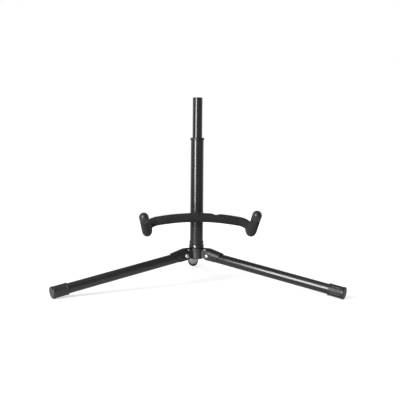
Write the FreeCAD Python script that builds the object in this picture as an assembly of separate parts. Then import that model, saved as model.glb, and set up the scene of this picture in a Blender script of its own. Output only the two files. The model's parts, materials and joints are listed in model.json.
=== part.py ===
import FreeCAD, Part
import math
import os

from FreeCAD import Placement, Rotation, Vector

# Folding instrument stand: a telescoping tube column on three folding tube legs, with a padded
# yoke in front of it. Millimetres, +Z up. The floor is Z = 0, the yoke faces -Y and one leg
# points to +Y, a little to the right. X = 0, Y = 0 is the middle of the stand's footprint box.

# Stance of the legs
leg_names = ("rear", "left", "right")
leg_angles_deg = (89.3, 210.0, 330.0)
leg_slope_deg = 10.5
leg_reach = 278.9
pivot_radius = 27.0

# Leg tube and foot
leg_tube_od = 19.0
leg_tube_wall = 1.2
leg_tube_setback = 10.5
foot_od = 22.0
foot_rim_od = 22.8
foot_rim_width = 5.0
foot_edge_radius = 1.5
foot_length = 30.0
foot_fit_clearance = 0.05
foot_floor = 2.5
foot_lip_height = 0.35
foot_lip_width = 2.0
foot_flute_count = 12
foot_flute_radius = 1.6
foot_flute_depth = 0.4

# Leg bracket, a pressed saddle with a round back
sheet = 1.6
saddle_clearance = 0.1
saddle_end = 28.0
saddle_slant = 8.4
saddle_rise = 14.9
back_fold_offset = 1.0
back_bend_radius = 20.0
tongue_depth = 3.0
tongue_end_width = 7.0
tongue_corner_radius = 1.5
tongue_stop_gap = 0.3
cheek_inboard = 4.8
cheek_drop = 7.6
cheek_shoulder = 3.5
cheek_corner_radius = 3.0
notch_place = 1.5
notch_radius = 1.5

# Fasteners of a leg
pivot_shank_diameter = 6.0
pivot_hole_clearance = 0.05
pivot_head_diameter = 8.2
pivot_head_height = 1.9
cross_rivet_place = 16.8
cross_rivet_diameter = 4.0
cross_rivet_hole_clearance = 0.05
cross_rivet_head_diameter = 6.4
cross_rivet_head_height = 1.3

# Hub
hub_od = 25.0
hub_lip_od = 26.8
hub_lip_height = 3.4
hub_below_pivot = 7.4
hub_above_pivot = 12.9
hub_chamfer = 0.8
hub_core_diameter = 14.0
hub_core_depth = 12.0
web_thickness = 5.0
web_root_rise = 11.4
web_root_drop = 4.2
web_lobe_radius = 7.5
web_overlap = 4.0
pivot_barrel_diameter = 9.2
pivot_barrel_gap = 0.3
spigot_height = 14.0
spigot_chamfer = 1.0
spigot_clearance = 0.1

# Stop washer and column collar
stop_washer_od = 28.6
stop_washer_thickness = 1.6
collar_clearance = 0.1
collar_band_od = 28.6
collar_band_height = 6.2
collar_groove_od = 26.6
collar_groove_height = 1.8
collar_shoulder = 1.0
collar_bead_od = 27.5
collar_height = 13.7
collar_edge = 0.6
collar_screw_angle_deg = 254.0
collar_screw_diameter = 4.0
collar_screw_hole_clearance = 0.05
collar_screw_head_diameter = 6.2
collar_screw_head_height = 1.9
collar_screw_depth = 7.0
collar_screw_drive_width = 1.1
collar_screw_drive_depth = 0.8

# Column tubes and the bush between them
lower_tube_od = 25.0
lower_tube_wall = 1.5
lower_tube_length = 209.4
upper_tube_od = 19.0
upper_tube_wall = 1.2
upper_tube_length = 172.0
upper_tube_showing = 77.4
tube_end_chamfer = 0.3
bush_flange_od = 27.2
bush_flange_thickness = 4.6
bush_flange_edge = 1.3
bush_sleeve_length = 25.0
bush_fit_clearance = 0.05
bush_running_clearance = 0.05

# Twist lock at the foot of the upper tube
plug_depth = 16.0
plug_flange_thickness = 3.0
plug_flange_inset = 0.2
plug_seat_relief = 0.2
plug_fit_clearance = 0.05
lock_stud_diameter = 6.0
lock_stud_clearance = 0.05
lock_sleeve_length = 14.0
lock_sleeve_gap = 1.0
lock_sleeve_clearance = 0.1
lock_sleeve_slit = 2.0
lock_cone_top_diameter = 9.0
lock_cone_base_diameter = 16.0
lock_cone_foot = 2.0
lock_cone_clearance = 0.3
lock_key_clearance = 0.2
lock_stud_head_diameter = 11.0
lock_stud_head_height = 3.0
lock_stud_head_gap = 0.3

# Yoke rod, its pads and tips
yoke_rod_diameter = 8.0
yoke_pad_od = 17.7
yoke_pad_bore_clearance = 0.1
yoke_column_gap = 0.3
yoke_height = 136.5
yoke_shift = 2.5
yoke_arm_span = 76.2
yoke_arm_drop = 6.6
yoke_corner_radius = 21.0
yoke_cradle_advance = 46.0
yoke_cradle_drop = 28.8
yoke_cradle_inset = 0.4
yoke_cradle_radius = 37.0
yoke_tip_advance = 100.0
yoke_tip_rise = 11.5
yoke_left_tip_sag = 4.6
yoke_tip_splay = 5.0
yoke_tip_skirt = 8.0
yoke_pad_seam = 1.6
yoke_pad_seam_gap = 0.3
yoke_boss_diameter = 9.0
yoke_boss_clearance = 0.3

# How far cutting tools run past the faces that they cut
overrun = 2.0

# Values that follow from the sizes above
slope = math.radians(leg_slope_deg)
leg_tube_r = leg_tube_od / 2
foot_r = foot_od / 2
foot_rim_r = foot_rim_od / 2
saddle_inner_r = leg_tube_r + saddle_clearance
saddle_outer_r = saddle_inner_r + sheet
hub_r = hub_od / 2
lower_tube_r = lower_tube_od / 2
lower_bore_r = lower_tube_r - lower_tube_wall
upper_tube_r = upper_tube_od / 2
upper_bore_r = upper_tube_r - upper_tube_wall
plug_seat_r = upper_bore_r + plug_seat_relief
spigot_r = lower_bore_r - spigot_clearance
stop_washer_r = stop_washer_od / 2
pad_r = yoke_pad_od / 2
rod_r = yoke_rod_diameter / 2
yoke_offset = lower_tube_r + pad_r + yoke_column_gap
yoke_corner_span = yoke_arm_span + yoke_corner_radius


def rim_reach(along):
    """How far a foot's rounded rim reaches from its pivot in a direction.

    along is the cosine between that direction and the leg.
    """
    across = math.sqrt(1 - along ** 2)
    rim_centre = (leg_reach - foot_edge_radius) * along
    return rim_centre + (foot_rim_r - foot_edge_radius) * across + foot_edge_radius


def reach_in_y(leg_angle_deg):
    """How far a leg's foot reaches from the column in front of it or behind it."""
    share = abs(math.sin(math.radians(leg_angle_deg)))
    return pivot_radius * share + rim_reach(math.cos(slope) * share)


pivot_z = rim_reach(math.sin(slope))
hub_bottom_z = pivot_z - hub_below_pivot
hub_top_z = pivot_z + hub_above_pivot
column_z = hub_top_z + stop_washer_thickness
spigot_top_z = column_z + spigot_height
lower_tube_top_z = column_z + lower_tube_length
flange_top_z = lower_tube_top_z + bush_flange_thickness
upper_tube_top_z = flange_top_z + upper_tube_showing
upper_tube_bottom_z = upper_tube_top_z - upper_tube_length
plug_bottom_z = upper_tube_bottom_z - plug_flange_thickness
lock_sleeve_top_z = plug_bottom_z - lock_sleeve_gap
lock_sleeve_bottom_z = lock_sleeve_top_z - lock_sleeve_length

rear_leg_angle_deg, left_leg_angle_deg, _ = leg_angles_deg
front_feet_reach = reach_in_y(left_leg_angle_deg)
front_yoke_reach = yoke_offset + yoke_tip_advance + pad_r
column_y = (max(front_feet_reach, front_yoke_reach) - reach_in_y(rear_leg_angle_deg)) / 2


def wire_face(points):
    """Flat face inside a closed outline of straight lines."""
    return Part.Face(Part.makePolygon(points + points[:1]))


def turned(profile):
    """Solid turned about Z from (radius, height) points."""
    face = wire_face([Vector(r, 0, z) for r, z in profile])
    return face.revolve(Vector(0, 0, 0), Vector(0, 0, 1), 360)


def upright(radius, bottom, top):
    """Round bar along Z."""
    return Part.makeCylinder(radius, top - bottom, Vector(0, 0, bottom))


def across(radius, low, high, place):
    """Round bar along Y from low to high, through the X, Z place."""
    return Part.makeCylinder(radius, high - low, Vector(place[0], low, place[1]), Vector(0, 1, 0))


def along(radius, start, end):
    """Round bar along X."""
    return Part.makeCylinder(radius, end - start, Vector(start, 0, 0), Vector(1, 0, 0))


def rounded_outline(corners, radii):
    """Closed wire in the XZ plane with an arc at each corner that has a radius."""
    count = len(corners)
    points = [Vector(x, 0, z) for x, z in corners]
    starts, ends, arcs = [], [], []
    for i, point in enumerate(points):
        before = (points[i - 1] - point).normalize()
        after = (points[(i + 1) % count] - point).normalize()
        half = before.getAngle(after) / 2
        tangent = radii[i] / math.tan(half)
        start = point + before * tangent
        end = point + after * tangent
        starts.append(start)
        ends.append(end)
        if radii[i]:
            middle = (before + after).normalize()
            centre = point + middle * (radii[i] / math.sin(half))
            arcs.append(Part.Arc(start, centre - middle * radii[i], end).toShape())
        else:
            arcs.append(None)
    edges = []
    for i in range(count):
        if arcs[i]:
            edges.append(arcs[i])
        edges.append(Part.LineSegment(ends[i], starts[(i + 1) % count]).toShape())
    return Part.Wire(edges)


def stand_point(out, up):
    """Point of the leg's frame for a place given from the pivot, outwards and upwards."""
    return (out * math.cos(slope) - up * math.sin(slope),
            out * math.sin(slope) + up * math.cos(slope))


def on_leg(shape, angle_deg):
    """Put a shape from the leg's frame, X along the tube from the pivot, onto its leg."""
    tilt = Placement(Vector(pivot_radius, 0, pivot_z), Rotation(Vector(0, 1, 0), leg_slope_deg))
    turn = Placement(Vector(0, 0, 0), Rotation(Vector(0, 0, 1), angle_deg))
    placed = shape.copy()
    placed.Placement = turn.multiply(tilt)
    return placed


# Column

def lower_tube():
    tube = turned([
        (lower_bore_r, column_z),
        (lower_tube_r, column_z),
        (lower_tube_r, lower_tube_top_z),
        (lower_bore_r, lower_tube_top_z),
    ])
    return tube.cut(collar_screw_bore(collar_screw_hole_clearance))


def top_bush():
    bore_r = upper_tube_r + bush_running_clearance
    sleeve_r = lower_bore_r - bush_fit_clearance
    flange_r = bush_flange_od / 2
    bush = turned([
        (bore_r, lower_tube_top_z - bush_sleeve_length),
        (sleeve_r, lower_tube_top_z - bush_sleeve_length),
        (sleeve_r, lower_tube_top_z),
        (flange_r, lower_tube_top_z),
        (flange_r, flange_top_z),
        (bore_r, flange_top_z),
    ])
    rim = [e for e in bush.Edges if is_circle_at(e, flange_r, flange_top_z)]
    return bush.makeFillet(bush_flange_edge, rim)


def is_circle_at(edge, radius, height):
    """Whether an edge is the level circle of that radius and height about the column."""
    if not isinstance(edge.Curve, Part.Circle):
        return False
    same_radius = math.isclose(edge.Curve.Radius, radius, rel_tol=1e-6)
    return same_radius and math.isclose(edge.Curve.Center.z, height, rel_tol=1e-6)


def upper_tube():
    """Tube with an open top end and a reamed seat for the plug at its foot."""
    inner_chamfer_r = upper_bore_r + tube_end_chamfer
    outer_chamfer_r = upper_tube_r - tube_end_chamfer
    seat_top_z = upper_tube_bottom_z + plug_depth
    return turned([
        (upper_bore_r, seat_top_z),
        (plug_seat_r, seat_top_z),
        (plug_seat_r, upper_tube_bottom_z),
        (upper_tube_r, upper_tube_bottom_z),
        (upper_tube_r, upper_tube_top_z - tube_end_chamfer),
        (outer_chamfer_r, upper_tube_top_z),
        (inner_chamfer_r, upper_tube_top_z),
        (upper_bore_r, upper_tube_top_z - tube_end_chamfer),
    ])


def upper_tube_plug():
    bore_r = lock_stud_diameter / 2 + lock_stud_clearance
    body_r = plug_seat_r - plug_fit_clearance
    flange_r = upper_tube_r - plug_flange_inset
    return turned([
        (bore_r, plug_bottom_z),
        (flange_r, plug_bottom_z),
        (flange_r, upper_tube_bottom_z),
        (body_r, upper_tube_bottom_z),
        (body_r, upper_tube_bottom_z + plug_depth),
        (bore_r, upper_tube_bottom_z + plug_depth),
    ])


def lock_stud():
    """Bolt that is fixed in the plug and turns in the cone, with its head below."""
    stud_r = lock_stud_diameter / 2
    head_r = lock_stud_head_diameter / 2
    head_top_z = lock_sleeve_bottom_z - lock_cone_foot - lock_stud_head_gap
    return turned([
        (0, head_top_z - lock_stud_head_height),
        (head_r, head_top_z - lock_stud_head_height),
        (head_r, head_top_z),
        (stud_r, head_top_z),
        (stud_r, upper_tube_bottom_z + plug_depth),
        (0, upper_tube_bottom_z + plug_depth),
    ])


def lock_cone():
    """Cone that the stud draws into the sleeve, with a key in the sleeve's slit."""
    bore_r = lock_stud_diameter / 2 + lock_stud_clearance
    base_r = lock_cone_base_diameter / 2
    cone = turned([
        (bore_r, lock_sleeve_bottom_z - lock_cone_foot),
        (base_r, lock_sleeve_bottom_z - lock_cone_foot),
        (base_r, lock_sleeve_bottom_z),
        (lock_cone_top_diameter / 2, lock_sleeve_top_z),
        (bore_r, lock_sleeve_top_z),
    ])
    width = lock_sleeve_slit - 2 * lock_key_clearance
    root = lock_cone_top_diameter / 2 - lock_key_clearance
    reach = lower_bore_r - lock_sleeve_clearance - lock_cone_clearance
    key = Part.makeBox(reach - root, width, lock_sleeve_length,
                       Vector(root, -width / 2, lock_sleeve_bottom_z))
    return cone.fuse(key)


def lock_sleeve():
    outer_r = lower_bore_r - lock_sleeve_clearance
    sleeve = turned([
        (lock_cone_base_diameter / 2 + lock_cone_clearance, lock_sleeve_bottom_z),
        (outer_r, lock_sleeve_bottom_z),
        (outer_r, lock_sleeve_top_z),
        (lock_cone_top_diameter / 2 + lock_cone_clearance, lock_sleeve_top_z),
    ])
    corner = Vector(0, -lock_sleeve_slit / 2, lock_sleeve_bottom_z - overrun)
    slit = Part.makeBox(outer_r + overrun, lock_sleeve_slit, lock_sleeve_length + 2 * overrun, corner)
    return sleeve.cut(slit)


# Foot of the column

def stop_washer():
    return turned([
        (spigot_r + spigot_clearance, hub_top_z),
        (stop_washer_r, hub_top_z),
        (stop_washer_r, column_z),
        (spigot_r + spigot_clearance, column_z),
    ])


def column_collar():
    inner_r = lower_tube_r + collar_clearance
    band_r = collar_band_od / 2
    groove_r = collar_groove_od / 2
    bead_r = collar_bead_od / 2
    groove_z = column_z + collar_band_height + collar_shoulder
    bead_z = groove_z + collar_groove_height
    top_z = column_z + collar_height
    collar = turned([
        (inner_r, column_z),
        (band_r - collar_edge, column_z),
        (band_r, column_z + collar_edge),
        (band_r, column_z + collar_band_height),
        (groove_r, groove_z),
        (groove_r, bead_z),
        (bead_r, bead_z + collar_edge),
        (bead_r, top_z - collar_edge),
        (bead_r - collar_edge, top_z),
        (inner_r, top_z),
    ])
    seat = collar_screw_bar(collar_screw_head_diameter / 2 + collar_screw_hole_clearance,
                            screw_seat_r(), band_r + overrun)
    return collar.cut(seat).cut(collar_screw_bore(collar_screw_hole_clearance))


def screw_seat_r():
    """Distance from the column's axis to the flat under the screw head."""
    return math.sqrt((collar_band_od / 2) ** 2 - (collar_screw_head_diameter / 2) ** 2)


def collar_screw_z():
    return column_z + collar_band_height / 2


def collar_screw_bar(radius, start, end):
    """Round bar along the collar screw's axis, between two distances from the column's axis."""
    angle = math.radians(collar_screw_angle_deg)
    out = Vector(math.cos(angle), math.sin(angle), 0)
    return Part.makeCylinder(radius, end - start, out * start + Vector(0, 0, collar_screw_z()), out)


def collar_screw_bore(clearance):
    return collar_screw_bar(collar_screw_diameter / 2 + clearance,
                            spigot_r - collar_screw_depth - clearance,
                            collar_band_od / 2 + overrun)


def collar_screw():
    seat = screw_seat_r()
    head_r = collar_screw_head_diameter / 2
    head_top = seat + collar_screw_head_height
    shank = collar_screw_bar(collar_screw_diameter / 2, spigot_r - collar_screw_depth, seat)
    dome_r = (head_r ** 2 + collar_screw_head_height ** 2) / (2 * collar_screw_head_height)
    angle = math.radians(collar_screw_angle_deg)
    out = Vector(math.cos(angle), math.sin(angle), 0)
    level = Vector(0, 0, collar_screw_z())
    dome = Part.makeSphere(dome_r, out * (head_top - dome_r) + level)
    head = collar_screw_bar(head_r, seat, head_top).common(dome)
    drive = Part.makeBox(collar_screw_drive_depth + overrun, collar_screw_drive_width,
                         2 * head_r + overrun,
                         Vector(head_top - collar_screw_drive_depth, -collar_screw_drive_width / 2,
                                -head_r - overrun / 2))
    turn = Rotation(Vector(0, 0, 1), collar_screw_angle_deg)
    drive.Placement = Placement(level, turn)
    return shank.fuse(head).removeSplitter().cut(drive)


def hub():
    """Casting with a spigot for the column, a lip under the washer and a hollow foot."""
    core_r = hub_core_diameter / 2
    lip_r = hub_lip_od / 2
    lip_z = hub_top_z - hub_lip_height
    body = turned([
        (core_r, hub_bottom_z),
        (hub_r - hub_chamfer, hub_bottom_z),
        (hub_r, hub_bottom_z + hub_chamfer),
        (hub_r, lip_z - lip_r + hub_r),
        (lip_r, lip_z),
        (lip_r, hub_top_z - hub_chamfer),
        (lip_r - hub_chamfer, hub_top_z),
        (spigot_r, hub_top_z),
        (spigot_r, spigot_top_z - spigot_chamfer),
        (spigot_r - spigot_chamfer, spigot_top_z),
        (0, spigot_top_z),
        (0, hub_bottom_z + hub_core_depth),
        (core_r, hub_bottom_z + hub_core_depth),
    ])
    for angle_deg in leg_angles_deg:
        lug = hub_lug()
        lug.rotate(Vector(0, 0, 0), Vector(0, 0, 1), angle_deg)
        body = body.fuse(lug)
    return body.removeSplitter().cut(collar_screw_bore(collar_screw_hole_clearance))


def tangent_point(centre, radius, outside, way):
    """Point where the line from an outside point touches a circle, above it for way = 1."""
    reach = math.hypot(outside[0] - centre[0], outside[1] - centre[1])
    toward = math.atan2(outside[1] - centre[1], outside[0] - centre[0])
    angle = toward - way * math.acos(radius / reach)
    return centre[0] + radius * math.cos(angle), centre[1] + radius * math.sin(angle)


def hub_lug():
    """Tapered web with a barrel that carries one leg's pivot, pointing along X."""
    root = hub_r - web_overlap
    pivot = (pivot_radius, pivot_z)
    half = web_thickness / 2
    high, low = (root, pivot_z + web_root_rise), (root, pivot_z - web_root_drop)
    high_touch = tangent_point(pivot, web_lobe_radius, high, 1)
    low_touch = tangent_point(pivot, web_lobe_radius, low, -1)
    side = wire_face([Vector(x, -half, z) for x, z in (high, high_touch, pivot, low_touch, low)])
    web = side.extrude(Vector(0, web_thickness, 0))
    web = web.fuse(across(web_lobe_radius, -half, half, pivot))
    reach = saddle_inner_r - pivot_barrel_gap
    barrel = across(pivot_barrel_diameter / 2, -reach, reach, pivot)
    hole = across(pivot_shank_diameter / 2 + pivot_hole_clearance, -hub_r, hub_r, pivot)
    return web.fuse(barrel).removeSplitter().cut(hole)


# Legs, each in its own frame: X along the tube from the pivot, Z square to it and upwards

def leg_tube():
    end = leg_reach - foot_floor
    tube = along(leg_tube_r, leg_tube_setback, end)
    bore = along(leg_tube_r - leg_tube_wall, leg_tube_setback - overrun, end + overrun)
    hole = across(cross_rivet_diameter / 2 + cross_rivet_hole_clearance,
                  -leg_tube_od, leg_tube_od, (cross_rivet_place, 0))
    return tube.cut(bore).cut(hole)


def foot():
    start = leg_reach - foot_length
    rim_start = leg_reach - foot_rim_width
    bore_r = leg_tube_r + foot_fit_clearance
    lip_r = foot_r + foot_lip_height
    corners = [
        (start, bore_r),
        (start, lip_r),
        (start + foot_lip_width, lip_r),
        (start + foot_lip_width + foot_lip_height, foot_r),
        (rim_start, foot_r),
        (rim_start + foot_rim_r - foot_r, foot_rim_r),
        (leg_reach, foot_rim_r),
        (leg_reach, 0),
        (leg_reach - foot_floor, 0),
        (leg_reach - foot_floor, bore_r),
    ]
    radii = [0] * len(corners)
    radii[corners.index((leg_reach, foot_rim_r))] = foot_edge_radius
    face = Part.Face(rounded_outline(corners, radii))
    cap = face.revolve(Vector(0, 0, 0), Vector(1, 0, 0), 360)
    return cap.cut(foot_flutes(start + 2 * foot_lip_width, rim_start))


def foot_flutes(start, end):
    """Shallow grooves along the foot, evenly spaced round it, with round ends."""
    axis_r = foot_r + foot_flute_radius - foot_flute_depth
    first, last = start + foot_flute_radius, end - foot_flute_radius
    flute = along(foot_flute_radius, first, last)
    flute = flute.fuse(Part.makeSphere(foot_flute_radius, Vector(first, 0, 0)))
    flute = flute.fuse(Part.makeSphere(foot_flute_radius, Vector(last, 0, 0)))
    flute.translate(Vector(0, axis_r, 0))
    flutes = []
    for number in range(foot_flute_count):
        one = flute.copy()
        one.rotate(Vector(0, 0, 0), Vector(1, 0, 0), (number + 0.5) * 360 / foot_flute_count)
        flutes.append(one)
    return Part.makeCompound(flutes)


def saddle_path():
    """Centre line of the bracket's round back: the level tongue, a bend and the long slope."""
    tongue_out = stop_washer_r + tongue_stop_gap - pivot_radius
    drop = saddle_outer_r
    tongue_x, tongue_z = stand_point(tongue_out, saddle_rise)
    fold_x, fold_z = stand_point(back_fold_offset, saddle_rise)
    shift_x, shift_z = stand_point(0, drop)
    start = Vector(tongue_x - shift_x, 0, tongue_z - shift_z)
    fold = Vector(fold_x - shift_x, 0, fold_z - shift_z)
    end = Vector(saddle_end + overrun, 0, 0)
    into = (fold - start).normalize()
    out = (end - fold).normalize()
    tangent = back_bend_radius * math.tan(into.getAngle(out) / 2)
    bend_start = fold - into * tangent
    bend_end = fold + out * tangent
    centre = bend_start + Vector(into.z, 0, -into.x) * back_bend_radius
    bend_middle = centre + (fold - centre).normalize() * back_bend_radius
    return Part.Wire([
        Part.LineSegment(start, bend_start).toShape(),
        Part.Arc(bend_start, bend_middle, bend_end).toShape(),
        Part.LineSegment(bend_end, end).toShape(),
    ]), start, into


def saddle_section(origin, direction):
    """Closed outline of the sheet: a half round back with two straight cheeks."""
    up = Vector(-direction.z, 0, direction.x)
    side = Vector(0, 1, 0)
    depth = saddle_rise - saddle_outer_r + cheek_drop + overrun

    def point(sideways, upwards):
        return origin + side * sideways + up * upwards

    def arc(radius, way):
        return Part.Arc(point(-way * radius, 0), point(0, radius), point(way * radius, 0)).toShape()

    def line(a, b):
        return Part.LineSegment(point(*a), point(*b)).toShape()

    outer, inner = saddle_outer_r, saddle_inner_r
    return Part.Wire([
        line((-outer, -depth), (-outer, 0)),
        arc(outer, 1),
        line((outer, 0), (outer, -depth)),
        line((outer, -depth), (inner, -depth)),
        line((inner, -depth), (inner, 0)),
        arc(inner, -1),
        line((-inner, 0), (-inner, -depth)),
        line((-inner, -depth), (-outer, -depth)),
    ])


def bracket_side():
    """Block with the bracket's side outline: tongue, notch, pivot cheek and slanted end."""
    tongue_out = stop_washer_r + tongue_stop_gap - pivot_radius
    tongue_low = saddle_rise - tongue_depth
    above = saddle_rise + overrun
    corners = [
        stand_point(tongue_out, above),
        stand_point(tongue_out, tongue_low),
        stand_point(-notch_place, tongue_low),
        (-cheek_inboard, cheek_shoulder),
        (-cheek_inboard, -cheek_drop),
        (saddle_end - saddle_slant, -cheek_drop),
        (saddle_end, saddle_inner_r),
        (saddle_end, above),
    ]
    corner = cheek_corner_radius
    radii = [0, 0, notch_radius, corner, cheek_inboard, corner, corner, 0]
    face = Part.Face(rounded_outline(corners, radii))
    width = saddle_outer_r + overrun
    face.translate(Vector(0, -width, 0))
    return face.extrude(Vector(0, 2 * width, 0))


def bracket_plan():
    """Block with the bracket's outline from above: a tapered tongue and straight sides."""
    tongue_x = stand_point(stop_washer_r + tongue_stop_gap - pivot_radius, saddle_rise)[0]
    outer_x = saddle_end + overrun
    width = saddle_outer_r + overrun
    tip = tongue_end_width / 2
    corners = [
        (tongue_x, -tip),
        (-cheek_inboard, -width),
        (outer_x, -width),
        (outer_x, width),
        (-cheek_inboard, width),
        (tongue_x, tip),
    ]
    radii = [tongue_corner_radius, 0, 0, 0, 0, tongue_corner_radius]
    face = Part.Face(rounded_outline(corners, radii))
    face.rotate(Vector(0, 0, 0), Vector(1, 0, 0), -90)
    height = saddle_rise + overrun
    face.translate(Vector(0, 0, -height))
    return face.extrude(Vector(0, 0, 2 * height))


def leg_bracket():
    path, start, direction = saddle_path()
    channel = path.makePipeShell([saddle_section(start, direction)], True, False)
    width = saddle_outer_r + overrun
    pivot_hole = across(pivot_shank_diameter / 2 + pivot_hole_clearance, -width, width, (0, 0))
    rivet_hole = across(cross_rivet_diameter / 2 + cross_rivet_hole_clearance,
                        -width, width, (cross_rivet_place, 0))
    blank = channel.common(bracket_side()).common(bracket_plan())
    return blank.cut(pivot_hole).cut(rivet_hole)


def headed_pin(diameter, head_diameter, head_height, place):
    """Rivet across the bracket with a domed head on each cheek."""
    head_r = head_diameter / 2
    dome_r = (head_r ** 2 + head_height ** 2) / (2 * head_height)
    pin = across(diameter / 2, -saddle_outer_r, saddle_outer_r, (place, 0))
    for side in (-1, 1):
        top = saddle_outer_r + head_height
        dome = Part.makeSphere(dome_r, Vector(place, side * (top - dome_r), 0))
        low, high = sorted((side * saddle_outer_r, side * top))
        pin = pin.fuse(across(head_r, low, high, (place, 0)).common(dome))
    return pin.removeSplitter()


def leg_pivot():
    return headed_pin(pivot_shank_diameter, pivot_head_diameter, pivot_head_height, 0)


def leg_cross_rivet():
    return headed_pin(cross_rivet_diameter, cross_rivet_head_diameter, cross_rivet_head_height,
                      cross_rivet_place)


# Yoke

def yoke_corners(side):
    """Corners of the rod's line on one side: arm end, elbow, cradle and tip."""
    arm_slope = yoke_arm_span / (arm_radius() - yoke_arm_drop)
    elbow_drop = yoke_arm_drop + (yoke_corner_span - yoke_arm_span) * arm_slope
    tip_rise = yoke_tip_rise - (yoke_left_tip_sag if side < 0 else 0)
    places = [
        (yoke_arm_span, 0, -yoke_arm_drop),
        (yoke_corner_span, 0, -elbow_drop),
        (yoke_corner_span - yoke_cradle_inset, yoke_cradle_advance, -yoke_cradle_drop),
        (yoke_corner_span + yoke_tip_splay, yoke_tip_advance, tip_rise),
    ]
    return [Vector(yoke_shift + side * x, -yoke_offset - y, yoke_height + z)
            for x, y, z in places]


def arm_radius():
    """Radius of the arch that the two arms form."""
    return (yoke_arm_span ** 2 + yoke_arm_drop ** 2) / (2 * yoke_arm_drop)


def bend(corner, before, after, radius):
    """Start, middle and end of the arc that rounds a corner."""
    back = (before - corner).normalize()
    on = (after - corner).normalize()
    half = back.getAngle(on) / 2
    tangent = radius / math.tan(half)
    middle = (back + on).normalize()
    centre = corner + middle * (radius / math.sin(half))
    return corner + back * tangent, centre - middle * radius, corner + on * tangent


def yoke_half_edges(side, end):
    """Edges of the rod's line from the arm's end to the given point of the prong."""
    arm, elbow, cradle, tip = yoke_corners(side)
    first = bend(elbow, arm, cradle, yoke_corner_radius)
    second = bend(cradle, elbow, tip, yoke_cradle_radius)
    return [
        Part.LineSegment(arm, first[0]).toShape(),
        Part.Arc(*first).toShape(),
        Part.LineSegment(first[2], second[0]).toShape(),
        Part.Arc(*second).toShape(),
        Part.LineSegment(second[2], end).toShape(),
    ]


def arch_point(x):
    """Point of the arms' arch at a distance from the yoke's middle."""
    fall = arm_radius() - math.sqrt(arm_radius() ** 2 - x ** 2)
    return Vector(yoke_shift + x, -yoke_offset, yoke_height - fall)


def arch_edge(start, end):
    return Part.Arc(arch_point(start), arch_point((start + end) / 2), arch_point(end)).toShape()


def prong_point(side, back):
    """Point of the prong's straight part, that far back from its tip."""
    cradle, tip = yoke_corners(side)[2:]
    return tip + (cradle - tip).normalize() * back


def reverse_path(edges):
    """The same edges walked the other way."""
    turned_edges = []
    for edge in reversed(edges):
        a, b = edge.Vertexes[0].Point, edge.Vertexes[-1].Point
        if isinstance(edge.Curve, Part.Circle):
            middle = edge.valueAt((edge.FirstParameter + edge.LastParameter) / 2)
            turned_edges.append(Part.Arc(b, middle, a).toShape())
        else:
            turned_edges.append(Part.LineSegment(b, a).toShape())
    return turned_edges


def swept_round(edges, radius):
    """Round bar along a smooth path."""
    path = Part.Wire(edges)
    start = edges[0].Vertexes[0].Point
    tangent = edges[0].tangentAt(edges[0].FirstParameter)
    section = Part.Wire(Part.makeCircle(radius, start, tangent))
    return path.makePipeShell([section], True, False)


def yoke_rod():
    left = reverse_path(yoke_half_edges(-1, prong_point(-1, 0)))
    right = yoke_half_edges(1, prong_point(1, 0))
    return swept_round(left + [arch_edge(-yoke_arm_span, yoke_arm_span)] + right, rod_r)


def yoke_pad(side):
    """Foam sleeve from the seam in front of the column to the tip cap."""
    seam = yoke_pad_seam + side * yoke_pad_seam_gap / 2
    end = prong_point(side, yoke_tip_skirt)
    edges = [arch_edge(seam, side * yoke_arm_span)] + yoke_half_edges(side, end)
    sleeve = swept_round(edges, pad_r)
    bore = swept_round(edges, rod_r + yoke_pad_bore_clearance)
    return sleeve.cut(bore).cut(boss_bar(yoke_boss_diameter / 2 + yoke_boss_clearance))


def yoke_tip(side):
    """Domed rubber cap over the rod's end, as thick as the foam."""
    tip = prong_point(side, 0)
    back = prong_point(side, yoke_tip_skirt)
    out = (tip - back).normalize()
    skirt = Part.makeCylinder(pad_r, yoke_tip_skirt, back, out)
    cap = skirt.fuse(Part.makeSphere(pad_r, tip))
    cap = cap.removeSplitter()
    bore_r = rod_r + yoke_pad_bore_clearance
    bore = Part.makeCylinder(bore_r, 2 * yoke_tip_skirt, back - out * yoke_tip_skirt, out)
    return cap.cut(bore)


def boss_bar(radius):
    """Round bar from the column's axis to the rod's, where the rod is welded on."""
    start = Vector(0, 0, yoke_height)
    return Part.makeCylinder(radius, yoke_offset, start, Vector(0, -1, 0))


def yoke_boss():
    """Stub between column and rod, shaped to both."""
    column = upright(lower_tube_r, yoke_height - yoke_pad_od, yoke_height + yoke_pad_od)
    rod = swept_round([arch_edge(-yoke_boss_diameter, yoke_boss_diameter)], rod_r)
    stub = boss_bar(yoke_boss_diameter / 2).cut(column).cut(rod)
    solids = sorted(stub.Solids, key=lambda solid: solid.Volume)
    return solids[-1]


def export(name, shape):
    placed = shape.copy()
    placed.translate(Vector(0, column_y, 0))
    placed.exportStep(os.path.join("parts", name + ".step"))


def main():
    os.makedirs("parts", exist_ok=True)
    export("lower_tube", lower_tube())
    export("top_bush", top_bush())
    export("upper_tube", upper_tube())
    export("upper_tube_plug", upper_tube_plug())
    export("lock_stud", lock_stud())
    export("lock_cone", lock_cone())
    export("lock_sleeve", lock_sleeve())
    export("stop_washer", stop_washer())
    export("column_collar", column_collar())
    export("collar_screw", collar_screw())
    export("hub", hub())
    leg_pieces = {
        "leg_tube": leg_tube(),
        "leg_foot": foot(),
        "leg_bracket": leg_bracket(),
        "leg_pivot": leg_pivot(),
        "leg_cross_rivet": leg_cross_rivet(),
    }
    for name, angle_deg in zip(leg_names, leg_angles_deg):
        for piece, shape in leg_pieces.items():
            export(piece + "_" + name, on_leg(shape, angle_deg))
    export("yoke_rod", yoke_rod())
    export("yoke_boss", yoke_boss())
    for name, side in (("left", -1), ("right", 1)):
        export("yoke_pad_" + name, yoke_pad(side))
        export("yoke_tip_" + name, yoke_tip(side))


main()
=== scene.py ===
import json
import math

import bpy
import bmesh
from mathutils import Matrix, Vector, noise


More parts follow.
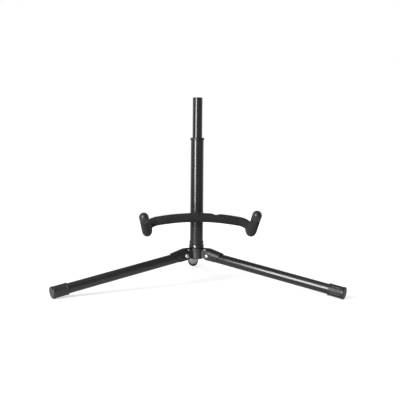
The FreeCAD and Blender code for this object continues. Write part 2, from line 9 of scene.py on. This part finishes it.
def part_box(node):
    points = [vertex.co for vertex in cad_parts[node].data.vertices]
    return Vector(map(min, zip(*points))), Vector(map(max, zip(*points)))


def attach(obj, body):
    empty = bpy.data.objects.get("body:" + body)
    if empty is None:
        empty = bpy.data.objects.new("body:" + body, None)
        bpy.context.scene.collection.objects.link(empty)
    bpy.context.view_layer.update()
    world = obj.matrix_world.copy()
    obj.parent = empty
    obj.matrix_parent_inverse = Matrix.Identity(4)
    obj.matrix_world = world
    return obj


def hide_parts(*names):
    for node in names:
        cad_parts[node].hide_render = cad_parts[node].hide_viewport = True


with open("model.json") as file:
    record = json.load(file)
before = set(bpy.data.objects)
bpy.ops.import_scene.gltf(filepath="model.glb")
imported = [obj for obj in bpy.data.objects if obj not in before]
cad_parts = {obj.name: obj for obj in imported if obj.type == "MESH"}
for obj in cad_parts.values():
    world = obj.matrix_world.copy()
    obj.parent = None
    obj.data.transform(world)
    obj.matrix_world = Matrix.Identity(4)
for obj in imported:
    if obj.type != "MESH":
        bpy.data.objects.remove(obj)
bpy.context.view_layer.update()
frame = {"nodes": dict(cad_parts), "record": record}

MM = 0.001

# The camera looks at the column from a little left of the yoke's front. Lens, sensor and distances
# in millimetres, angles in degrees.
CAMERA_LENS = 73.8
CAMERA_SENSOR = 36
CAMERA_DISTANCE = 1597.0
CAMERA_SIDE = 6.2
CAMERA_HEIGHT = 251.5
CAMERA_TURN_DEG = 2.4
CAMERA_PITCH_DEG = 2.95
CAMERA_ROLL_DEG = 0.5
CAMERA_RANGE = 100000

# The yoke's centre line in millimetres, with the CAD's sizes: an arch across the column, round the
# corner and down into the cradle, then forward and up along the prong
YOKE_SHIFT = 2.5
YOKE_HEIGHT = 136.5
YOKE_FORWARD = 21.65
YOKE_ARM_SPAN = 76.2
YOKE_ARM_DROP = 6.6
YOKE_CORNER_RADIUS = 21.0
YOKE_CORNER_SPAN = YOKE_ARM_SPAN + YOKE_CORNER_RADIUS
YOKE_CRADLE_ADVANCE = 46.0
YOKE_CRADLE_DROP = 28.8
YOKE_CRADLE_INSET = 0.4
YOKE_CRADLE_RADIUS = 37.0
YOKE_TIP_ADVANCE = 100.0
YOKE_TIP_RISE = 11.5
YOKE_LEFT_TIP_SAG = 4.6
YOKE_TIP_SPLAY = 5.0
TIP_SKIRT = 8.0

# The foam pads in millimetres. They start at the seam and end at the skirt of the tip's cap.
PAD_RADIUS = 8.85
PAD_BORE_RADIUS = 4.1
PAD_SEAM = 1.6
PAD_SEAM_GAP = 0.5
PAD_EDGE_RADIUS = 1.3
PAD_STEP = 1.2
PAD_SIDES = 72
FEWEST_ARC_STEPS = 6

# Places of the close rings that round a pad's cut ends, as shares of the edge's radius
EDGE_SHARES = (0.04, 0.15, 0.35, 0.65)

# Shape of the foam: thicker over the boss, a pinch right of the column, and creases inside the
# bends. The creases are full where a bend's radius is smaller than CREASE_BEND. BEND_WINDOW is how
# many points on each side of a place measure its bend.
BOSS_BULGE = 0.5
BOSS_BULGE_REACH = 14.0
PINCH_PLACE = 33.0
PINCH_WIDTH = 5.0
PINCH_DEPTH = 2.4
CREASE_DEPTH = 0.35
CREASE_PITCH = 5.0
CREASE_BEND = 40.0
BEND_WINDOW = 4
FOAM_UNEVENNESS = 0.16
FOAM_UNEVENNESS_SCALE = 0.045

low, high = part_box("upper_tube")
column_x = (low[0] + high[0]) / 2
column_y = (low[1] + high[1]) / 2


def add_object(name, data):
    """New object in the scene's own collection."""
    thing = bpy.data.objects.new(name, data)
    bpy.context.scene.collection.objects.link(thing)
    return thing


def add_mesh(name, mesh):
    """New object with a bmesh's shape. The bmesh itself is freed."""
    data = bpy.data.meshes.new(name)
    mesh.to_mesh(data)
    mesh.free()
    return add_object(name, data)


# Materials

EDGE_SAMPLES = 6

# Part of a noise pattern's range that the roughness follows, since most of the pattern is in it
NOISE_MIDDLE = (0.3, 0.7)


class Look:
    """A Principled material with helpers that add procedural detail to it."""

    def __init__(self, name, base, roughness, metallic=0.0, ior=1.5):
        self.material = bpy.data.materials.new(name)
        self.material.use_nodes = True
        self.tree = self.material.node_tree
        self.shader = self.tree.nodes["Principled BSDF"]
        self.shader.inputs["Base Color"].default_value = (*base, 1)
        self.shader.inputs["Roughness"].default_value = roughness
        self.shader.inputs["Metallic"].default_value = metallic
        self.shader.inputs["IOR"].default_value = ior
        self.coordinates = self.tree.nodes.new("ShaderNodeTexCoord")
        self.normal = None

    def link(self, source, target):
        self.tree.links.new(source, target)

    def place(self, kind="Object", stretch=(1, 1, 1)):
        """Texture place. The pattern is drawn out along an axis with a small factor."""
        mapping = self.tree.nodes.new("ShaderNodeMapping")
        mapping.inputs["Scale"].default_value = stretch
        self.link(self.coordinates.outputs[kind], mapping.inputs["Vector"])
        return mapping.outputs["Vector"]

    def noise(self, size_mm, detail, stretch=(1, 1, 1), kind="Object"):
        """Cloudy pattern with spots of about this size."""
        node = self.tree.nodes.new("ShaderNodeTexNoise")
        node.inputs["Scale"].default_value = 1 / (size_mm * MM)
        node.inputs["Detail"].default_value = detail
        self.link(self.place(kind, stretch), node.inputs["Vector"])
        return node.outputs["Fac"]

    def cells(self, size_mm):
        """Pattern of small cells, dark in their middles."""
        node = self.tree.nodes.new("ShaderNodeTexVoronoi")
        node.inputs["Scale"].default_value = 1 / (size_mm * MM)
        self.link(self.place(), node.inputs["Vector"])
        return node.outputs["Distance"]

    def color(self, factor, low_color, high_color, low_place=0.35, high_place=0.65):
        """Base colour between two colours, where the factor goes from one place to the other."""
        node = self.tree.nodes.new("ShaderNodeValToRGB")
        low_stop, high_stop = node.color_ramp.elements
        low_stop.position = low_place
        high_stop.position = high_place
        low_stop.color = (*low_color, 1)
        high_stop.color = (*high_color, 1)
        self.link(factor, node.inputs["Fac"])
        self.link(node.outputs["Color"], self.shader.inputs["Base Color"])

    def roughness(self, factor, low_value, high_value):
        """Roughness between two values, over the middle of the factor's range."""
        node = self.tree.nodes.new("ShaderNodeMapRange")
        node.inputs["From Min"].default_value = NOISE_MIDDLE[0]
        node.inputs["From Max"].default_value = NOISE_MIDDLE[1]
        node.inputs["To Min"].default_value = low_value
        node.inputs["To Max"].default_value = high_value
        self.link(factor, node.inputs["Value"])
        self.link(node.outputs["Result"], self.shader.inputs["Roughness"])

    def rounded_edges(self, radius_mm):
        node = self.tree.nodes.new("ShaderNodeBevel")
        node.samples = EDGE_SAMPLES
        node.inputs["Radius"].default_value = radius_mm * MM
        self.normal = node.outputs["Normal"]
        self.link(self.normal, self.shader.inputs["Normal"])

    def bump(self, height, depth_mm, strength=1.0):
        """Relief on top of the material's edges and earlier bumps."""
        node = self.tree.nodes.new("ShaderNodeBump")
        node.inputs["Strength"].default_value = strength
        node.inputs["Distance"].default_value = depth_mm * MM
        self.link(height, node.inputs["Height"])
        if self.normal:
            self.link(self.normal, node.inputs["Normal"])
        self.normal = node.outputs["Normal"]
        self.link(self.normal, self.shader.inputs["Normal"])


def gray(value):
    """Gray with a trace of blue."""
    return (value, value, value * 1.03)


def gloss_black():
    look = Look("gloss_black_paint", gray(0.015), 0.19, ior=1.55)
    look.color(look.noise(30, 4), gray(0.0125), gray(0.0165))
    look.roughness(look.noise(22, 2, (1, 1, 0.4)), 0.17, 0.21)
    look.bump(look.noise(9, 2, (1, 1, 0.4)), 0.004)
    look.bump(look.noise(1.2, 1), 0.0003)
    return look.material


def satin_black():
    look = Look("satin_black_paint", gray(0.009), 0.33, ior=1.5)
    look.color(look.noise(9, 5), gray(0.007), gray(0.013))
    look.roughness(look.noise(6, 5), 0.27, 0.42)
    look.rounded_edges(0.4)
    look.bump(look.noise(1.6, 3), 0.03)
    look.bump(look.noise(0.4, 2), 0.008)
    return look.material


def hub_metal():
    look = Look("hub_metal", gray(0.045), 0.4, metallic=0.3, ior=1.6)
    look.color(look.noise(5, 6), (0.04, 0.04, 0.042), (0.055, 0.054, 0.055))
    look.roughness(look.noise(3, 5), 0.34, 0.46)
    look.rounded_edges(0.5)
    look.bump(look.noise(0.9, 4), 0.03)
    return look.material


def bright_steel():
    look = Look("bright_zinc_steel", gray(0.65), 0.3, metallic=1.0)
    look.color(look.noise(2, 4), (0.58, 0.58, 0.57), (0.72, 0.72, 0.71))
    look.roughness(look.noise(1.2, 5), 0.24, 0.38)
    look.rounded_edges(0.2)
    look.bump(look.noise(0.5, 3), 0.006)
    return look.material


def bare_steel():
    look = Look("bare_steel", gray(0.5), 0.35, metallic=1.0)
    look.color(look.noise(6, 5), (0.4, 0.4, 0.41), (0.56, 0.56, 0.56))
    look.roughness(look.noise(1.5, 6, (0.1, 1, 1)), 0.26, 0.46)
    look.bump(look.noise(0.35, 3, (0.1, 1, 1)), 0.004)
    return look.material


def black_plastic():
    look = Look("black_plastic", gray(0.012), 0.34, ior=1.5)
    look.color(look.noise(7, 4), gray(0.010), gray(0.016))
    look.roughness(look.noise(5, 4), 0.28, 0.42)
    look.rounded_edges(0.3)
    look.bump(look.noise(0.45, 3), 0.008)
    return look.material


def lock_plastic():
    look = Look("lock_nylon", gray(0.1), 0.45, ior=1.53)
    look.color(look.noise(6, 4), gray(0.085), gray(0.13))
    look.roughness(look.noise(3, 4), 0.38, 0.54)
    look.rounded_edges(0.2)
    look.bump(look.noise(0.5, 3), 0.01)
    return look.material


def black_rubber():
    look = Look("black_rubber", gray(0.017), 0.38, ior=1.52)
    look.color(look.noise(4, 6), gray(0.013), gray(0.022))
    look.roughness(look.noise(2.5, 5), 0.32, 0.44)
    look.rounded_edges(0.4)
    look.bump(look.noise(0.5, 3), 0.02)
    return look.material


def black_foam():
    look = Look("black_foam", gray(0.022), 0.85, ior=1.35)
    streaks = look.noise(9, 5, (0.12, 1, 1), "UV")
    look.color(streaks, gray(0.0105), gray(0.022), 0.3, 0.7)
    look.roughness(look.noise(4, 4), 0.78, 0.95)
    look.shader.inputs["Sheen Weight"].default_value = 0.06
    look.shader.inputs["Sheen Roughness"].default_value = 0.5
    look.bump(look.cells(0.9), 0.12, 0.8)
    look.bump(look.noise(0.5, 4), 0.08, 0.8)
    look.bump(streaks, 0.25, 0.6)
    return look.material


MAKERS = {
    "gloss_black": gloss_black,
    "satin_black": satin_black,
    "hub_metal": hub_metal,
    "rivet_steel": bright_steel,
    "bare_steel": bare_steel,
    "black_plastic": black_plastic,
    "lock_plastic": lock_plastic,
    "black_rubber": black_rubber,
    "black_foam": black_foam,
}


def dress_nodes(looks):
    """Give every CAD node the look of its material slot."""
    slots = {part["node"]: part["material_slot"] for part in frame["record"]["subparts"]}
    for name, node in frame["nodes"].items():
        if not node.material_slots:
            node.data.materials.append(None)
        for slot in node.material_slots:
            slot.material = looks[slots[name]]


# The yoke's foam

def in_scene(x, forward, z):
    """Place in metres from one in millimetres across the yoke, towards the front and up."""
    return Vector((column_x + (YOKE_SHIFT + x) * MM, column_y - forward * MM, z * MM))


def arch_radius():
    """Radius of the arch that the two arms form."""
    return (YOKE_ARM_SPAN ** 2 + YOKE_ARM_DROP ** 2) / (2 * YOKE_ARM_DROP)


def arch_place(x):
    """Place on the arch at a distance from the yoke's middle."""
    fall = arch_radius() - math.sqrt(arch_radius() ** 2 - x ** 2)
    return Vector((x, YOKE_FORWARD, YOKE_HEIGHT - fall))


def rounded_corner(corner, before, after, radius):
    """Points of the arc that rounds a corner, a step apart."""
    back = (before - corner).normalized()
    on = (after - corner).normalized()
    half = back.angle(on) / 2
    tangent = radius / math.tan(half)
    middle = (back + on).normalized()
    centre = corner + middle * (radius / math.sin(half))
    start = corner + back * tangent - centre
    end = corner + on * tangent - centre
    turn = start.angle(end)
    count = max(FEWEST_ARC_STEPS, round(turn * radius / PAD_STEP))
    axis = start.cross(end).normalized()
    return [centre + Matrix.Rotation(turn * i / count, 3, axis) @ start for i in range(count + 1)]


def straight(start, end):
    """Points between two places, a step apart, without the places themselves."""
    count = max(1, round((end - start).length / PAD_STEP))
    return [start.lerp(end, i / count) for i in range(1, count)]


def yoke_line(side):
    """Centre line of one pad from the seam to the cap, in millimetres from the yoke's middle."""
    slope = YOKE_ARM_SPAN / (arch_radius() - YOKE_ARM_DROP)
    elbow_drop = YOKE_ARM_DROP + (YOKE_CORNER_SPAN - YOKE_ARM_SPAN) * slope
    cradle_span = YOKE_CORNER_SPAN - YOKE_CRADLE_INSET
    cradle_forward = YOKE_FORWARD + YOKE_CRADLE_ADVANCE
    tip_span = YOKE_CORNER_SPAN + YOKE_TIP_SPLAY
    tip_rise = YOKE_TIP_RISE - (YOKE_LEFT_TIP_SAG if side < 0 else 0)
    arm = arch_place(YOKE_ARM_SPAN)
    elbow = Vector((YOKE_CORNER_SPAN, YOKE_FORWARD, YOKE_HEIGHT - elbow_drop))
    cradle = Vector((cradle_span, cradle_forward, YOKE_HEIGHT - YOKE_CRADLE_DROP))
    tip = Vector((tip_span, YOKE_FORWARD + YOKE_TIP_ADVANCE, YOKE_HEIGHT + tip_rise))
    first = rounded_corner(elbow, arm, cradle, YOKE_CORNER_RADIUS)
    second = rounded_corner(cradle, elbow, tip, YOKE_CRADLE_RADIUS)
    end = tip + (cradle - tip).normalized() * TIP_SKIRT
    seam = side * PAD_SEAM + PAD_SEAM_GAP / 2
    count = round((YOKE_ARM_SPAN - seam) / PAD_STEP)
    arch = [arch_place(seam + (YOKE_ARM_SPAN - seam) * i / count) for i in range(count)]
    points = arch + straight(arch[-1], first[0]) + first
    points += straight(first[-1], second[0]) + second + straight(second[-1], end) + [end]
    return [Vector((side * p.x, p.y, p.z)) for p in points]


def lengths_along(points):
    """Length of the line from its start to each of its points."""
    lengths = [0]
    for a, b in zip(points, points[1:]):
        lengths.append(lengths[-1] + (b - a).length)
    return lengths


def frames_along(points):
    """Direction, side and up vector at each point, turned as little as the line allows."""
    count = len(points)
    frames = []
    up = Vector((0, 0, 1))
    for i in range(count):
        along = (points[min(i + 1, count - 1)] - points[max(i - 1, 0)]).normalized()
        side = along.cross(up).normalized()
        up = side.cross(along).normalized()
        frames.append((along, side, up))
    return frames


def bend_at(points, i):
    """Vector towards the inside of the bend at a point, one over the bend's radius long."""
    before = points[max(i - BEND_WINDOW, 0)]
    after = points[min(i + BEND_WINDOW, len(points) - 1)]
    chord = (after - before).length
    rise = (before + after) / 2 - points[i]
    # A flat arc rises by its chord squared over eight radii
    return rise / (chord * chord) * 8


def foam_radius(place, outward, length, bend):
    """Radius of the foam's skin, in millimetres, in one direction from the centre line."""
    radius = PAD_RADIUS
    from_boss = place.x + YOKE_SHIFT
    if abs(from_boss) < 2 * BOSS_BULGE_REACH:
        radius += BOSS_BULGE * math.exp(-(from_boss / BOSS_BULGE_REACH) ** 4)
    if place.x > 0:
        across = (place.x - PINCH_PLACE) / PINCH_WIDTH
        radius -= PINCH_DEPTH * math.exp(-across ** 2) * max(0, outward.z) ** 3
    inside = max(0, bend.dot(outward))
    crease = math.sin(2 * math.pi * length / CREASE_PITCH)
    radius -= CREASE_DEPTH * min(1, CREASE_BEND * inside) * (0.5 + 0.5 * crease)
    spot = (place + outward * PAD_RADIUS) * FOAM_UNEVENNESS_SCALE
    return radius + FOAM_UNEVENNESS * noise.noise(spot)


def rounded_end(distance):
    """How far the skin draws in near a cut end."""
    if distance >= PAD_EDGE_RADIUS:
        return 0
    return PAD_EDGE_RADIUS - math.sqrt(PAD_EDGE_RADIUS ** 2 - (PAD_EDGE_RADIUS - distance) ** 2)


def pad_stations(lengths):
    """Lengths along the pad at which it has a ring, with a few close ones at its cut ends."""
    close = [PAD_EDGE_RADIUS * share for share in EDGE_SHARES]
    return sorted(set(lengths + close + [lengths[-1] - step for step in close]))


def pad_rings(mesh, points, lengths, stations):
    """A ring of corners in the pad's skin and one in its bore at each station."""
    frames = frames_along(points)
    skin, bore = [], []
    for length in stations:
        i = min(range(len(lengths)), key=lambda k: abs(lengths[k] - length))
        along, across, up = frames[i]
        centre = points[i] + along * (length - lengths[i])
        bend = bend_at(points, i)
        draw = rounded_end(min(length, lengths[-1] - length))
        skin_ring, bore_ring = [], []
        for k in range(PAD_SIDES):
            angle = 2 * math.pi * k / PAD_SIDES
            outward = across * math.cos(angle) + up * math.sin(angle)
            radius = foam_radius(centre, outward, length, bend) - draw
            skin_ring.append(mesh.verts.new(in_scene(*(centre + outward * radius))))
            bore_ring.append(mesh.verts.new(in_scene(*(centre + outward * PAD_BORE_RADIUS))))
        skin.append(skin_ring)
        bore.append(bore_ring)
    return skin, bore


def join_rings(mesh, rings, places):
    """Faces from each ring to the next, and from the last to the first, with UVs in metres."""
    uv = mesh.loops.layers.uv.new("along")
    for r, ring in enumerate(rings):
        following = rings[(r + 1) % len(rings)]
        for k in range(PAD_SIDES):
            n = (k + 1) % PAD_SIDES
            face = mesh.faces.new((ring[k], ring[n], following[n], following[k]))
            face.smooth = True
            spots = ((k, r), (k + 1, r), (k + 1, r + 1), (k, r + 1))
            for loop, (u, v) in zip(face.loops, spots):
                turn = u / PAD_SIDES * 2 * math.pi * PAD_RADIUS * MM
                loop[uv].uv = (places[v % len(places)] * MM, turn)


def foam_pad(name, side):
    """One pad as a closed mesh: along its skin, in at the cut end and back along its bore."""
    points = yoke_line(side)
    lengths = lengths_along(points)
    stations = pad_stations(lengths)
    mesh = bmesh.new()
    skin, bore = pad_rings(mesh, points, lengths, stations)
    join_rings(mesh, skin + bore[::-1], stations + stations[::-1])
    bmesh.ops.recalc_face_normals(mesh, faces=mesh.faces)
    return add_mesh(name, mesh)


def add_pads(looks):
    """The foam pads in place of the CAD's plain ones."""
    for name, side in (("left", -1), ("right", 1)):
        pad = foam_pad("foam_pad_" + name, side)
        pad.data.materials.append(looks["black_foam"])
        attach(pad, "stand")
        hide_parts("yoke_pad_" + name)


# Stage, in metres and degrees

# Brightness of the room that lights the object: in front, behind, overhead and below
ROOM_FRONT = 0.18
ROOM_BACK = 1.0
ROOM_TOP = 0.2
ROOM_LOW = 0.3

# Where the room changes between those levels, as the Y or Z part of a direction one metre long
FRONT_TO_BACK = (-0.15, 0.4)
SIDE_TO_TOP = (0.25, 0.75)
LOW_TO_SIDE = (-0.06, 0)

# How much of the white background mirror reflections see, besides the room itself
MIRRORED_SHARE = 0.15

# White table top, and how much it is lifted to white where the lamps leave it gray: more to the
# right and back
TABLE_CORNERS = ((-1.0, -0.95), (1.0, -0.95), (1.0, 1.7), (-1.0, 1.7))
TABLE_GRAY = 0.86
LIFT = 0.62
LIFT_SLANT = (0.25, 0.3, 0)

# Direction and distance of the softboxes on the left, seen from the column
LEFT_AZIMUTH = -125
LEFT_DISTANCE = 1.3


def blend(tree, value, places, levels):
    """Level that goes smoothly from one to another as the value passes two places."""
    node = tree.nodes.new("ShaderNodeMapRange")
    node.interpolation_type = "SMOOTHSTEP"
    node.inputs["From Min"].default_value = places[0]
    node.inputs["From Max"].default_value = places[1]
    node.inputs["To Min"].default_value = levels[0]
    node.inputs["To Max"].default_value = levels[1]
    tree.links.new(value, node.inputs["Value"])
    return node.outputs["Result"]


def multiply(tree, a, b):
    """Product of two values."""
    node = tree.nodes.new("ShaderNodeMath")
    node.operation = "MULTIPLY"
    tree.links.new(a, node.inputs[0])
    tree.links.new(b, node.inputs[1])
    return node.outputs[0]


def seen_directly(tree):
    """1 for rays from the camera or through glass, less in a mirror, 0 for the object's light."""
    path = tree.nodes.new("ShaderNodeLightPath")
    direct = tree.nodes.new("ShaderNodeMath")
    direct.operation = "MAXIMUM"
    tree.links.new(path.outputs["Is Camera Ray"], direct.inputs[0])
    tree.links.new(path.outputs["Is Transmission Ray"], direct.inputs[1])
    mirrored = tree.nodes.new("ShaderNodeMath")
    mirrored.operation = "MULTIPLY_ADD"
    mirrored.inputs[1].default_value = MIRRORED_SHARE
    tree.links.new(path.outputs["Is Glossy Ray"], mirrored.inputs[0])
    tree.links.new(direct.outputs[0], mirrored.inputs[2])
    return mirrored.outputs[0]


def add_floor():
    """White table top. The room beyond its edges is as white to the camera."""
    mesh = bmesh.new()
    mesh.faces.new([mesh.verts.new((x, y, 0)) for x, y in TABLE_CORNERS])
    floor = add_mesh("floor", mesh)
    material = bpy.data.materials.new("pale_floor")
    material.use_nodes = True
    tree = material.node_tree
    tree.nodes.clear()
    output = tree.nodes.new("ShaderNodeOutputMaterial")
    diffuse = tree.nodes.new("ShaderNodeBsdfDiffuse")
    diffuse.inputs["Color"].default_value = (TABLE_GRAY, TABLE_GRAY, TABLE_GRAY, 1)
    lift = tree.nodes.new("ShaderNodeEmission")
    lift.inputs["Color"].default_value = (1, 1, 1, 1)
    place = tree.nodes.new("ShaderNodeTexCoord")
    slant = tree.nodes.new("ShaderNodeVectorMath")
    slant.operation = "DOT_PRODUCT"
    slant.inputs[1].default_value = LIFT_SLANT
    tree.links.new(place.outputs["Object"], slant.inputs[0])
    share = tree.nodes.new("ShaderNodeMath")
    share.inputs[1].default_value = LIFT
    tree.links.new(slant.outputs["Value"], share.inputs[0])
    strength = multiply(tree, seen_directly(tree), share.outputs[0])
    tree.links.new(strength, lift.inputs["Strength"])
    add = tree.nodes.new("ShaderNodeAddShader")
    tree.links.new(diffuse.outputs[0], add.inputs[0])
    tree.links.new(lift.outputs[0], add.inputs[1])
    tree.links.new(add.outputs[0], output.inputs["Surface"])
    floor.data.materials.append(material)


def add_world():
    """White studio wall behind the stand, and a dim room in front, overhead and below."""
    world = bpy.data.worlds.new("studio")
    bpy.context.scene.world = world
    world.use_nodes = True
    tree = world.node_tree
    background = tree.nodes["Background"]
    place = tree.nodes.new("ShaderNodeTexCoord")
    parts = tree.nodes.new("ShaderNodeSeparateXYZ")
    tree.links.new(place.outputs["Generated"], parts.inputs[0])
    wall = blend(tree, parts.outputs["Y"], FRONT_TO_BACK, (ROOM_FRONT, ROOM_BACK))
    ceiling = blend(tree, parts.outputs["Z"], SIDE_TO_TOP, (1, ROOM_TOP))
    below = blend(tree, parts.outputs["Z"], LOW_TO_SIDE, (ROOM_LOW, 1))
    level = multiply(tree, multiply(tree, wall, ceiling), below)
    mix = tree.nodes.new("ShaderNodeMix")
    tree.links.new(seen_directly(tree), mix.inputs["Factor"])
    tree.links.new(level, mix.inputs["A"])
    mix.inputs["B"].default_value = 1
    tree.links.new(mix.outputs["Result"], background.inputs["Strength"])
    background.inputs["Color"].default_value = (1, 1, 1, 1)


def add_softbox(name, place, aim, width, height, radiance):
    """Rectangular lamp that faces a place, with its brightness as a radiance."""
    data = bpy.data.lights.new(name, "AREA")
    data.shape = "RECTANGLE"
    data.size = width
    data.size_y = height
    data.energy = radiance * math.pi * width * height
    lamp = add_object(name, data)
    lamp.location = place
    lamp.rotation_euler = (Vector(aim) - Vector(place)).to_track_quat("-Z", "Y").to_euler()
    lamp.visible_camera = False


def around(azimuth_deg, distance, height):
    """Place at an angle and distance from the column, and at a height."""
    angle = math.radians(azimuth_deg)
    return (column_x + distance * math.cos(angle), column_y + distance * math.sin(angle), height)


def add_lights():
    """Two softboxes on the left, the dim one over the bright one, and a dim panel overhead."""
    add_softbox("left_strip", around(LEFT_AZIMUTH, LEFT_DISTANCE, 0.54), around(0, 0, 0.54),
                width=0.46, height=0.88, radiance=18)
    add_softbox("left_high", around(LEFT_AZIMUTH, LEFT_DISTANCE, 1.28), around(0, 0, 0.7),
                width=0.46, height=0.6, radiance=2.5)
    add_softbox("top_panel", around(-90, 0.6, 1.8), around(0, 0, 0.1),
                width=0.9, height=0.5, radiance=1.5)


def add_camera():
    """Camera at the photo's place, turned round the column and pitched down."""
    turn = math.radians(CAMERA_TURN_DEG)
    side, distance = CAMERA_SIDE * MM, CAMERA_DISTANCE * MM
    x = side * math.cos(turn) - distance * math.sin(turn)
    y = -side * math.sin(turn) - distance * math.cos(turn)
    data = bpy.data.cameras.new("photo_camera")
    data.lens = CAMERA_LENS
    data.sensor_width = CAMERA_SENSOR
    data.clip_end = CAMERA_RANGE * MM
    camera = add_object("photo_camera", data)
    camera.matrix_world = (
        Matrix.Translation((column_x + x, column_y + y, CAMERA_HEIGHT * MM))
        @ Matrix.Rotation(-turn, 4, "Z")
        @ Matrix.Rotation(math.radians(90 - CAMERA_PITCH_DEG), 4, "X")
        @ Matrix.Rotation(math.radians(CAMERA_ROLL_DEG), 4, "Z"))
    bpy.context.scene.camera = camera


def main():
    looks = {slot: make() for slot, make in MAKERS.items()}
    dress_nodes(looks)
    add_pads(looks)
    add_floor()
    add_world()
    add_lights()
    add_camera()
    bpy.context.scene.view_settings.view_transform = "Standard"


main()
bpy.context.view_layer.update()
